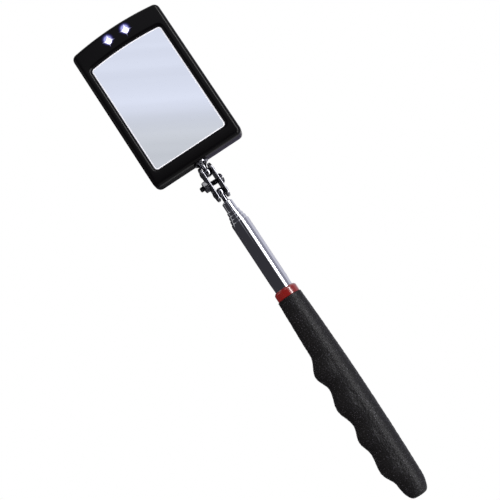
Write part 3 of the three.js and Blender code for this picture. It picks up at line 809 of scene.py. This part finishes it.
class MIRROR_OT_studs(bpy.types.Operator):
    """Build the two ball studs"""

    bl_idname = "mirror.studs"
    bl_label = "Ball studs"

    def execute(self, context):
        steel = nickel_steel("Nickel-plated steel, turned", chosen("joint"), 0.12, 0.06)
        neck = STUD_NECK
        base = box("lower_ball_stud")[0].y
        shank = rounded([
            (0, base), (2.1, base, 0.2), (2.1, base + 1, 0.2), (neck, base + 1, 0.1), (neck, base + 2),
        ])
        lower = shank + [(neck, LOWER_BALL.y - 3.2), (neck + 0.04, LOWER_BALL.y - 2.4)]
        lower += ball_profile(LOWER_BALL.y, -56, 90)
        make_piece("lower_ball_stud", turn(lower, 56), steel, sharp=50)
        high = box("upper_ball_stud")[1]
        top = high.y
        wall = BEZEL_LOW.y
        flange = high.x
        seat = wall - 0.15
        flare = rounded([
            (neck, seat - 3.9), (neck, seat - 3.4, 0.4), (1.95, seat - 2.4, 0.5), (3, seat - 1.4, 0.5),
            (flange, seat - 0.8, 0.25), (flange, seat, 0.1), (neck, seat),
            (neck, top - 1.2), (2.5, top - 1.2, 0.2), (2.5, top, 0.2), (0, top),
        ])
        upper = ball_profile(UPPER_BALL.y, -90, 56) + [(neck + 0.04, UPPER_BALL.y + 2.4)]
        upper += flare
        make_piece("upper_ball_stud", turn(upper, 56), steel, sharp=50)
        return {"FINISHED"}


PLATE_INSIDE = 2.1
PLATE_THICKNESS = 1.5
PLATE_HALF_WIDTH = 3.5
PLATE_OVERHANG = 4.1
DOME_RADIUS = 2.3
DOME_HEIGHT = 0.8
PIN_HOLE = 1.62
THREAD_RADIUS = 1.48
THREAD_DEPTH = 0.3
NUT_FLATS = 2.75


def pressed_plate(side):
    """A clamp plate in the clamp's own frame: round ends, rolled edges, a dome over each ball."""
    straight = BALL_SPAN / 2 + PLATE_OVERHANG - PLATE_HALF_WIDTH
    socket = BALL_RADIUS + 0.12
    dome = (DOME_RADIUS ** 2 + DOME_HEIGHT ** 2) / (2 * DOME_HEIGHT)
    outline = []
    for end, start in ((-1, math.pi), (1, 0)):
        for k in range(29):
            a = start + math.pi * k / 28
            middle = Vector((0, end * straight, 0))
            outline.append((middle, Vector((0, math.sin(a), math.cos(a)))))
    # long edges get points too, so that the domes have faces to stand on
    dense = []
    for (m0, d0), (m1, d1) in zip(outline, outline[1:] + outline[:1]):
        steps = 1 if (m1 - m0).length < 0.01 else 36
        for k in range(steps):
            dense.append((m0.lerp(m1, k / steps), d0.lerp(d1, k / steps).normalized()))

    def from_ball(point):
        return min((point - Vector((0, end * BALL_SPAN / 2, 0))).length for end in (-1, 1))

    def outside(point):
        near = from_ball(point)
        if near < DOME_RADIUS:
            return math.sqrt(dome ** 2 - near ** 2) - (dome - DOME_HEIGHT)
        return 0.06 * math.exp(-((near - DOME_RADIUS) / 0.25) ** 2)

    def inside(point):
        near = from_ball(point)
        if near < math.sqrt(socket ** 2 - PLATE_INSIDE ** 2):
            return math.sqrt(socket ** 2 - near ** 2) - PLATE_INSIDE
        return 0

    rings = []
    edge = 0.38
    fractions = [0.03] + [k / 14 for k in range(1, 14)]
    flat = PLATE_HALF_WIDTH - edge
    for height_of, base in ((inside, 0), (outside, PLATE_THICKNESS)):
        face = []
        for part in fractions + [1.0]:
            ring = []
            for middle, out in dense:
                point = middle + out * flat * part
                rise = height_of(point)
                ring.append(Vector((side * (PLATE_INSIDE + base + rise), point.y, point.z)))
            face.append(ring)
        rings.append(face)
    rim = []
    for k in range(1, 12):
        a = math.pi * k / 12
        reach = flat + edge * math.sin(a) ** 0.7
        level = PLATE_THICKNESS / 2 * (1 - math.copysign(abs(math.cos(a)) ** 0.5, math.cos(a)))
        rim.append([
            Vector((side * (PLATE_INSIDE + level), (m + o * reach).y, (m + o * reach).z)) for m, o in dense
        ])
    return loft(rings[0] + rim + rings[1][::-1])


class MIRROR_OT_plates(bpy.types.Operator):
    """Build the two clamp plates"""

    bl_idname = "mirror.plates"
    bl_label = "Clamp plates"

    def execute(self, context):
        steel = nickel_steel("Nickel-plated steel, pressed", chosen("joint"), 0.2, 0.07)
        for node, side in (("clamp_plate_left", -1), ("clamp_plate_right", 1)):
            hole = turn([(0, -6), (PIN_HOLE, -6), (PIN_HOLE, 6), (0, 6)], 32)
            lay = CLAMP_PLACE @ Matrix.Rotation(math.pi / 2, 4, "Z")
            make_piece(node, pressed_plate(side), steel, CLAMP_PLACE, cuts=[(hole, lay)])
        return {"FINISHED"}


class MIRROR_OT_clamp_screw(bpy.types.Operator):
    """Build the slotted clamp screw and its hexagonal nut"""

    bl_idname = "mirror.clamp_screw"
    bl_label = "Clamp screw and nut"

    def execute(self, context):
        steel = nickel_steel("Steel, turned and black nickel plated", linear("#45454a"), 0.12, 0.08)
        bright = nickel_steel("Nickel-plated steel, turned bright", linear("#d4d4d9"), 0.12, 0.06)
        pitch = context.scene.mirror_sizes.thread_pitch / MM
        outside = PLATE_INSIDE + PLATE_THICKNESS
        seat, head = outside + 0.12, outside + 0.12 + 1.85
        nut_low, nut_high = -(outside + 0.12 + 2.3), -(outside + 0.12)
        end = nut_low - 2.2
        major = THREAD_RADIUS

        def thread(radius, height, angle):
            if radius > major + 0.01 or radius < 1.2 or height > seat - 0.2:
                return radius
            turns = height / pitch - angle / (2 * math.pi)
            crest = 1 - abs(2 * (turns % 1) - 1)
            return radius - THREAD_DEPTH * (1 - crest) * min(1, (height - end) / 0.5)

        shank = [(major, end + 0.45 + 0.08 * k) for k in range(int((seat - end - 0.5) / 0.08))]
        top = rounded([
            (major, seat), (2.9, seat, 0.12), (2.9, seat + 0.75, 0.25), (2.45, seat + 1.5, 0.5),
            (1.3, head, 0.6), (0, head),
        ])
        profile = [(0, end), (0.9, end), (1.15, end + 0.12), *shank, *top]
        lay = CLAMP_PLACE @ Matrix.Rotation(-math.pi / 2, 4, "Z")
        slot = slab_block((-0.65, head - 1.3, -4), (0.65, head + 1, 4))
        make_piece("clamp_screw", turn(profile, 40, thread), steel, lay, cuts=[(slot, lay)])

        flats = NUT_FLATS
        corner = flats / math.cos(math.pi / 6)

        def hexagon(radius, height, angle):
            if radius < 1.6:
                return radius
            facet = flats / math.cos((angle + math.pi / 6) % (math.pi / 3) - math.pi / 6)
            ends = min(height - nut_low, nut_high - height)
            return min(facet, flats + 0.05 + ends * 1.7)

        steps = (0, 0.08, 0.16, 0.26)
        rows = [nut_low + step for step in steps] + [nut_high - step for step in steps[::-1]]
        bore = [(1.5, nut_high), (1.5, nut_low)]
        nut = turn([(corner, y) for y in rows] + bore, 72, hexagon)
        make_piece("clamp_nut", nut, bright, lay, sharp=24)
        return {"FINISHED"}


PARTING = 0.0
GROOVE = 0.15
FRONT = BEZEL_HIGH.z
BACK = SHELL_LOW.z
GLASS_FRONT = GLASS_HIGH.z
LAMP_RADIUS = 1.5
LAMP_HOLE = 1.62
LAMP_FUNNEL = 2.15
STUD_HOLE = 1.62
SCREW_HOLE = 1.2
COVER_GAP = 0.06


def stud_hole():
    """The cutter for the ball stud's hole through the case's lower wall."""
    low, high = CASE.bottom - 1, CASE.bottom + 3
    return turn([(0, low), (STUD_HOLE, low), (STUD_HOLE, high), (0, high)], 40), None


def screw_well(node, mouth, radius, lead, depth, top):
    """The cutter for a screw's well in the back: a lead-in, a seat, and a hole up to a height."""
    profile = [
        (0, BACK - 1), (mouth, BACK - 1), (mouth, BACK - 0.01), (radius, BACK + lead),
        (radius, BACK + depth), (SCREW_HOLE, BACK + depth), (SCREW_HOLE, top), (0, top),
    ]
    return turn(profile, 40), standing(middle_of(node))


def edge_rings(panel, face, toward, size):
    """Rings round an edge that rolls over from the side wall to a flat face."""
    rings = []
    for k in range(11):
        a = math.pi / 2 * k / 10
        inset = size * (1 - math.cos(a))
        rise = size * 1.1 * (1 - math.sin(a))
        rings.append(panel_ring(grow(panel, -inset), face - toward * rise))
    return rings


class MIRROR_OT_bezel(bpy.types.Operator):
    """Build the front half of the case, with its window and lamp holes"""

    bl_idname = "mirror.bezel"
    bl_label = "Front bezel"

    def execute(self, context):
        size = context.scene.mirror_sizes.edge_round / MM
        rings = [panel_ring(grow(CASE, -GROOVE), PARTING), panel_ring(CASE, PARTING + GROOVE)]
        rings += edge_rings(CASE, FRONT, 1, size)
        # the window: a brow that rolls down toward the glass, and a short wall
        brow = context.scene.mirror_sizes.brow_round / MM
        turns = [math.radians(6 * k) for k in range(11)]
        window = [(brow * (0.93 - math.sin(a)), brow * (math.cos(a) - 1)) for a in turns]
        window += [(0.02, -1.18), (0.0, -1.3)]
        rings += [panel_ring(grow(WINDOW, out), FRONT + drop) for out, drop in window]
        rings += [panel_ring(WINDOW, GLASS_FRONT + 0.02), panel_ring(grow(CASE, -WALL), GLASS_FRONT + 0.02)]
        rings.append(panel_ring(grow(CASE, -WALL), PARTING))
        cuts = []
        lamps = []
        for node in ("led_left", "led_right"):
            middle = middle_of(node)
            lamps.append(Vector((middle.x, middle.y, FRONT)))
            hole = rounded([
                (0, 3), (LAMP_HOLE, 3), (LAMP_HOLE, FRONT - 0.45), (LAMP_FUNNEL, FRONT + 0.02),
                (LAMP_FUNNEL, FRONT + 1), (0, FRONT + 1),
            ])
            cuts.append((turn(hole, 48), standing(middle)))
        cuts.append(stud_hole())
        material = moulded_abs(chosen("case"), lamps)
        make_piece("front_bezel", loft(rings, looped=True), material, cuts=cuts, sharp=28)
        return {"FINISHED"}


def cover_panel(grown=0.0, corner=1.5):
    """The battery cover's outline, or its seat's when it is grown."""
    flat = 5000  # an arch this wide is straight across the cover
    return Panel(
        COVER_HIGH.x - COVER_LOW.x + 2 * grown, COVER_LOW.y - grown, COVER_HIGH.y + grown, flat, corner,
    )


class MIRROR_OT_shell(bpy.types.Operator):
    """Build the back half of the case"""

    bl_idname = "mirror.shell"
    bl_label = "Rear shell"

    def execute(self, context):
        size = context.scene.mirror_sizes.edge_round / MM
        inside = COVER_HIGH.z + 0.1
        rings = [panel_ring(grow(CASE, -WALL), inside), panel_ring(grow(CASE, -WALL), PARTING)]
        rings += [panel_ring(grow(CASE, -GROOVE), PARTING), panel_ring(CASE, PARTING - GROOVE)]
        rings += edge_rings(CASE, BACK, -1, size)
        seat = cover_panel(COVER_GAP)
        cuts = [(loft([panel_ring(seat, BACK - 1), panel_ring(seat, inside + 1)]), None)]
        for n in range(1, 5):
            cuts.append(screw_well(f"case_screw_{n}", 2.6, 2.25, 0.35, 1.35, 1))
        switch = middle_of("switch_body")
        scoop = slab_block((-6.2, switch.y - 3.6, BACK - 1), (6.2, switch.y + 3.6, BACK + 0.55), 0.45, 3)
        slot = slab_block((-3.2, switch.y - 1.3, BACK - 1), (3.2, switch.y + 1.3, inside + 1))
        cuts += [(scoop, None), (slot, None)]
        cuts.append(stud_hole())
        material = moulded_abs(chosen("case"))
        make_piece("rear_shell", loft(rings), material, cuts=cuts, sharp=28)
        return {"FINISHED"}


class MIRROR_OT_glass(bpy.types.Operator):
    """Build the bevelled mirror and finish its foam pad"""

    bl_idname = "mirror.glass"
    bl_label = "Mirror glass"

    def execute(self, context):
        bevel = context.scene.mirror_sizes.glass_bevel / MM
        shoulder = GLASS_FRONT - 0.34
        rings = [
            panel_ring(GLASS, GLASS_LOW.z), panel_ring(GLASS, shoulder),
            panel_ring(grow(WINDOW, 0.2), shoulder), panel_ring(grow(WINDOW, -bevel), GLASS_FRONT),
        ]
        material = silvered_glass(chosen("glass"))
        make_piece("mirror_glass", loft(rings), material, sharp=5)
        keep_node("mirror_pad", foam_tape())
        return {"FINISHED"}


class MIRROR_OT_lamps(bpy.types.Operator):
    """Build the two lit lamps and finish their board"""

    bl_idname = "mirror.lamps"
    bl_label = "Lamps"

    def execute(self, context):
        colour = chosen("lamp")
        strength = context.scene.mirror_sizes.lamp_strength
        for node in ("led_left", "led_right"):
            low, high = box(node)
            middle = (low + high) / 2
            dome = high.z - LAMP_RADIUS
            profile = [(0, low.z), (1.85, low.z), (1.9, low.z + 0.06), (1.9, low.z + 0.9), (1.84, low.z + 1)]
            profile += [(LAMP_RADIUS, low.z + 1.02)]
            for k in range(13):
                a = math.pi / 2 * k / 12
                reach = 0 if k == 12 else LAMP_RADIUS * math.cos(a)
                profile.append((reach, dome + LAMP_RADIUS * math.sin(a)))
            glow = Vector((middle.x, middle.y - 0.25, high.z - 0.25))
            place = standing(middle)
            make_piece(node, turn(profile, 40), lit_lens(colour, glow, strength), place)
        keep_node("led_board", circuit_board())
        keep_node("led_resistor", resistor_lacquer())
        return {"FINISHED"}


def screw_head(node, steel):
    """A pan-head tapping screw with a cross recess, driven up from the back."""
    low, high = box(node)
    middle = (low + high) / 2
    cap = 1.1 if node.startswith("case") else 0.75
    seat = low.z + cap
    profile = rounded([
        (0, low.z), (1.2, low.z, 0.4), (1.9, low.z + 0.55, 0.3), (1.9, seat, 0.05), (0.85, seat),
        (0.85, high.z - 0.8), (0, high.z),
    ])
    place = standing(middle)
    cuts = []
    for angle in (0.3, 0.3 + math.pi / 2):
        blade = slab_block((-1.05, low.z - 1, -0.2), (1.05, low.z + cap * 0.65, 0.2))
        cuts.append((blade, place @ Matrix.Rotation(angle, 4, "Y")))
    make_piece(node, turn(profile, 36), steel, place, cuts=cuts)


class MIRROR_OT_battery(bpy.types.Operator):
    """Build the battery cover and its screw, and finish the cells and contacts"""

    bl_idname = "mirror.battery"
    bl_label = "Battery"

    def execute(self, context):
        can = nickel_steel("Nickel-plated steel, drawn can", linear("#c3c5c8"), 0.3, 0.22)
        keep_node("coin_cell_1", can)
        keep_node("coin_cell_2", can)
        brass = spring_brass()
        keep_node("contact_spring", brass)
        keep_node("contact_strip", brass)
        steps = ((0.0, COVER_HIGH.z), (0.0, BACK + 0.25), (-0.08, BACK + 0.08), (-0.25, BACK))
        rings = [panel_ring(grow(cover_panel(), by), z, 5, 4) for by, z in steps]
        cuts = [screw_well("battery_cover_screw", 2.5, 2.2, 0.3, 0.9, 0)]
        # three finger ribs are left between four grooves near the end that slides out first
        for k in range(4):
            y = COVER_LOW.y + 2.4 + 1.5 * k
            cuts.append((slab_block((-5, y, BACK - 1), (5, y + 0.8, BACK + 0.45), 0.25), None))
        material = moulded_abs(chosen("case"))
        make_piece("battery_cover", loft(rings), material, cuts=cuts, sharp=28)
        screw_head("battery_cover_screw", plated_screw())
        return {"FINISHED"}


def plated_screw():
    """Black zinc plate over cold-headed steel: dark, oily satin."""
    return nickel_steel("Steel, cold headed and black zinc plated", linear("#4a4a4e"), 0.15, 0.3)


class MIRROR_OT_switch(bpy.types.Operator):
    """Build the lamp switch's ribbed knob and finish its body"""

    bl_idname = "mirror.switch"
    bl_label = "Switch"

    def execute(self, context):
        nylon = moulded_nylon()
        keep_node("switch_body", nylon)
        low, high = box("switch_knob")
        middle = (low + high) / 2
        pad = slab_block((low.x, low.y, low.z + 0.45), (high.x, high.y, BACK + 1.5), 0.12)
        foot = (middle.x - 0.9, middle.y - 0.85, BACK + 1.2)
        joins = [(slab_block(foot, (middle.x + 0.9, middle.y + 0.85, high.z)), None)]
        for k in range(5):
            x = low.x + 0.2 + 0.8 * k
            rib = slab_block((x, low.y + 0.08, low.z), (x + 0.4, high.y - 0.08, low.z + 0.7), 0.12)
            joins.append((rib, None))
        make_piece("switch_knob", pad, nylon, joins=joins, sharp=35)
        return {"FINISHED"}


class MIRROR_OT_case_screws(bpy.types.Operator):
    """Build the four screws that hold the case together"""

    bl_idname = "mirror.case_screws"
    bl_label = "Case screws"

    def execute(self, context):
        steel = plated_screw()
        for n in range(1, 5):
            screw_head(f"case_screw_{n}", steel)
        return {"FINISHED"}


# ---- stage ---------------------------------------------------------------------------------


def glowing(name, colour, strength=1.0):
    """A stage finish that glows evenly in one colour."""
    material, tree = blank(name)
    shader = add(tree, "ShaderNodeEmission", {"Color": (*colour, 1), "Strength": strength})
    add(tree, "ShaderNodeOutputMaterial", links={"Surface": shader.outputs[0]})
    return material


def stage_sheet(name, corners, material, camera=False):
    """A flat card of the studio, in metres; cards that only reflect are hidden from the camera."""
    mesh = bpy.data.meshes.new(name)
    mesh.from_pydata(corners, [], [tuple(range(len(corners)))])
    mesh.materials.append(material)
    card = bpy.data.objects.new(name, mesh)
    bpy.context.scene.collection.objects.link(card)
    if not camera:
        card.visible_camera = False
        card.visible_diffuse = False
        card.visible_shadow = False
        card.visible_transmission = False
    return card


def swept_card(name, start, end, span, material, camera=False):
    """A card that runs from one (x, z) to another and reaches over a span of Y."""
    (x0, z0), (x1, z1), (y0, y1) = start, end, span
    corners = [(x0, y0, z0), (x1, y0, z1), (x1, y1, z1), (x0, y1, z0)]
    return stage_sheet(name, corners, material, camera)


def overhead(degrees, reach):
    """The (x, z) of a place round the mirror, at an angle to the right of straight up."""
    angle = math.radians(degrees)
    return reach * math.sin(angle), reach * math.cos(angle)


# the stage, in metres
FLOOR_Z = -0.125
STAGE_RADIUS = 1.2
BLACK_CLOTH = (0.042, 0.041, 0.048)
CAMERA_TARGET = Vector((-0.00368, 0.14733, 0))
CAMERA_DISTANCE = 0.5
CAMERA_TILT = math.radians(8.8)
CAMERA_ROLL = math.radians(33.07)
CAMERA_LENS = 70.3


def faded(name, axis, span, ends, streaks=0.0):
    """A glowing card that runs from one colour to the other along an axis, with faint streaks across it."""
    material, tree = blank(name)
    place = add(tree, "ShaderNodeTexCoord").outputs["Object"]
    along = add(tree, "ShaderNodeVectorMath", {1: axis}, {0: place}, operation="DOT_PRODUCT").outputs["Value"]
    fade = between(tree, along, 0.0, 1.0, *span, interpolation_type="SMOOTHSTEP")
    shade = blend(tree, fade, (*ends[0], 1), (*ends[1], 1))
    fine = {"Scale": 28.0, "Detail": 3.0}
    lines = add(tree, "ShaderNodeTexNoise", fine, {"W": along}, noise_dimensions="1D")
    power = between(tree, lines.outputs["Fac"], 1.0 - 2 * streaks, 1.0 + 2 * streaks)
    glow = add(tree, "ShaderNodeEmission", links={"Color": shade, "Strength": power})
    add(tree, "ShaderNodeOutputMaterial", links={"Surface": glow.outputs[0]})
    return material


class MIRROR_OT_stage(bpy.types.Operator):
    """Set the pale floor, the soft lights, the cards that the metal reflects, and the camera"""

    bl_idname = "mirror.stage"
    bl_label = "Stage"

    def execute(self, context):
        scene = context.scene
        scene.view_settings.view_transform = "Standard"
        white = glowing("Studio floor, white", (1, 1, 1))
        tree = white.node_tree
        side = add(tree, "ShaderNodeNewGeometry").outputs["Backfacing"]
        clear = add(tree, "ShaderNodeBsdfTransparent").outputs[0]
        glow = tree.nodes["Emission"].outputs[0]
        mixed = add(tree, "ShaderNodeMixShader", links={0: side, 1: glow, 2: clear})
        tree.links.new(mixed.outputs[0], tree.nodes["Material Output"].inputs["Surface"])
        swept_card("floor", (-4, FLOOR_Z), (4, FLOOR_Z), (-4, 4), white, camera=True)
        world = bpy.data.worlds.new("Soft studio")
        world.use_nodes = True
        world.node_tree.nodes["Background"].inputs["Color"].default_value = (1, 1, 1, 1)
        world.node_tree.nodes["Background"].inputs["Strength"].default_value = 0.6
        scene.world = world

        black = glowing("Black flag cloth", BLACK_CLOTH)
        # overhead and left-hand flags: the dark side of the chrome
        edges = (26.6, 10, -10, -30, -50, -70, -90)
        for k, (start, end) in enumerate(zip(edges, edges[1:])):
            places = overhead(start, STAGE_RADIUS), overhead(end, STAGE_RADIUS)
            swept_card(f"flag_{k}", *places, (-1.4, 0.515), black)
        low = FLOOR_Z + 0.002
        violet = glowing("Violet card", (0.24, 0.22, 0.33))
        dusk = glowing("Dusk wall", (0.33, 0.33, 0.40))
        haze = glowing("Lavender floor", (0.68, 0.68, 0.77))
        slate = glowing("Slate flag", (0.10, 0.10, 0.12))
        # each card's name, where it starts and ends in (x, z), its span of Y and its finish
        cards = (
            ("flag_left_floor", (-1.25, low), (-0.066, low), (-1, 0.6), black),
            ("flag_left_wall", (-1.2, low), (-1.2, 0.1), (-1, 0.44), black),
            ("flag_under", (-0.066, low), (0.003, low), (0.14, 0.24), black),
            ("card_under", (0.003, low), (0.07, low), (0.14, 0.2), violet),
            ("right_arc", (0.97, 0.7), (1.15, 0.17), (-1, 0.6), dusk),
            ("right_wall", (1.15, -0.1), (1.15, 0.17), (-1, 0.6), dusk),
            ("right_floor", (0.1, low), (1.15, low), (-1, 0.6), haze),
            ("flag_beyond", (-1.3, 1.16), (-0.1, 1.16), (0.5, 1.35), slate),
        )
        for card in cards:
            swept_card(*card)
        far = [(-1.3, 1.35, low), (0, 1.35, low), (0, 1.35, 1.15), (-1.3, 1.35, 1.15)]
        stage_sheet("flag_far", far, slate)

        # the soft box on the right, with a brighter strip down its middle
        boxes = (("soft_box", 26.6, 54, STAGE_RADIUS, 1.35), ("strip", 38, 52, STAGE_RADIUS - 0.2, 14.0))
        for name, start, end, reach, power in boxes:
            glow = glowing(name, (1, 1, 1), power)
            swept_card(name, overhead(start, reach), overhead(end, reach), (-1.4, 1.2), glow)

        # the pale ceiling that the glass reflects: streaked, and duller toward its lower left
        tones = ((0.70, 0.695, 0.69), (0.84, 0.842, 0.90))
        ceiling = faded("Pale ceiling", (0.5, 0.86, 0), (0.475, 0.55), tones, streaks=0.05)
        swept_card("ceiling", (-0.1, 1.15), (0.5, 1.15), (0.515, 1.3), ceiling)
        # and the card in front of it, which fades into the black of the flags
        tones = (BLACK_CLOTH, (0.50, 0.51, 0.56))
        fading = faded("Fading card", (0, 1, 0), (0.39, 0.515), tones)
        swept_card("card_over", (-0.07, 1.16), (0.07, 1.16), (0.39, 0.515), fading)

        lights = (
            ("key", (0.9, -0.1, 0.7), 0.8, 9.0, (0.94, 0.95, 1.0)),
            ("fill", (-0.7, 0.2, 0.7), 0.9, 2.6, (1.0, 0.80, 0.62)),
        )
        for name, spot, size, power, colour in lights:
            data = bpy.data.lights.new(name, "AREA")
            data.color = colour
            data.size = size
            data.energy = power
            lamp = bpy.data.objects.new(name, data)
            lamp.location = spot
            aim = CAMERA_TARGET - Vector(spot)
            lamp.rotation_euler = aim.to_track_quat("-Z", "Y").to_euler()
            scene.collection.objects.link(lamp)
            lamp.visible_camera = False
            lamp.visible_glossy = False

        camera = bpy.data.objects.new("camera", bpy.data.cameras.new("camera"))
        camera.data.lens = CAMERA_LENS
        camera.data.clip_start = 0.01
        back = Vector((0, -math.sin(CAMERA_TILT), math.cos(CAMERA_TILT)))
        upward = Vector((math.sin(CAMERA_ROLL), math.cos(CAMERA_ROLL), 0))
        right = upward.cross(back).normalized()
        upward = back.cross(right)
        turned = Matrix((right, upward, back)).transposed().to_4x4()
        camera.matrix_world = Matrix.Translation(CAMERA_TARGET + back * CAMERA_DISTANCE) @ turned
        scene.collection.objects.link(camera)
        scene.camera = camera
        return {"FINISHED"}


# ---- add-on --------------------------------------------------------------------------------

STEPS = (
    MIRROR_OT_stage, MIRROR_OT_grip, MIRROR_OT_ring, MIRROR_OT_pole, MIRROR_OT_inner_fittings,
    MIRROR_OT_studs, MIRROR_OT_plates, MIRROR_OT_clamp_screw, MIRROR_OT_bezel, MIRROR_OT_shell,
    MIRROR_OT_glass, MIRROR_OT_lamps, MIRROR_OT_battery, MIRROR_OT_switch, MIRROR_OT_case_screws,
)


class MIRROR_PT_panel(bpy.types.Panel):
    """Lists the build steps and their settings"""

    bl_idname = "MIRROR_PT_panel"
    bl_label = "Inspection Mirror"
    bl_space_type = "VIEW_3D"
    bl_region_type = "UI"
    bl_category = "Mirror"

    def draw(self, context):
        for group in (context.scene.mirror_sizes, context.scene.mirror_colours):
            for name in group.__annotations__:
                self.layout.prop(group, name)
        for step in STEPS:
            self.layout.operator(step.bl_idname)


CLASSES = (MirrorSizes, MirrorColours, *STEPS, MIRROR_PT_panel)


def register():
    """Add the settings, steps and panel to Blender."""
    for cls in CLASSES:
        bpy.utils.register_class(cls)
    bpy.types.Scene.mirror_sizes = bpy.props.PointerProperty(type=MirrorSizes)
    bpy.types.Scene.mirror_colours = bpy.props.PointerProperty(type=MirrorColours)


def unregister():
    """Take them away again."""
    del bpy.types.Scene.mirror_colours
    del bpy.types.Scene.mirror_sizes
    for cls in reversed(CLASSES):
        bpy.utils.unregister_class(cls)


def main():
    """Register the classes and run every step in order."""
    register()
    for step in STEPS:
        group, name = step.bl_idname.split(".")
        getattr(getattr(bpy.ops, group), name)()


if __name__ == "__main__":
    main()
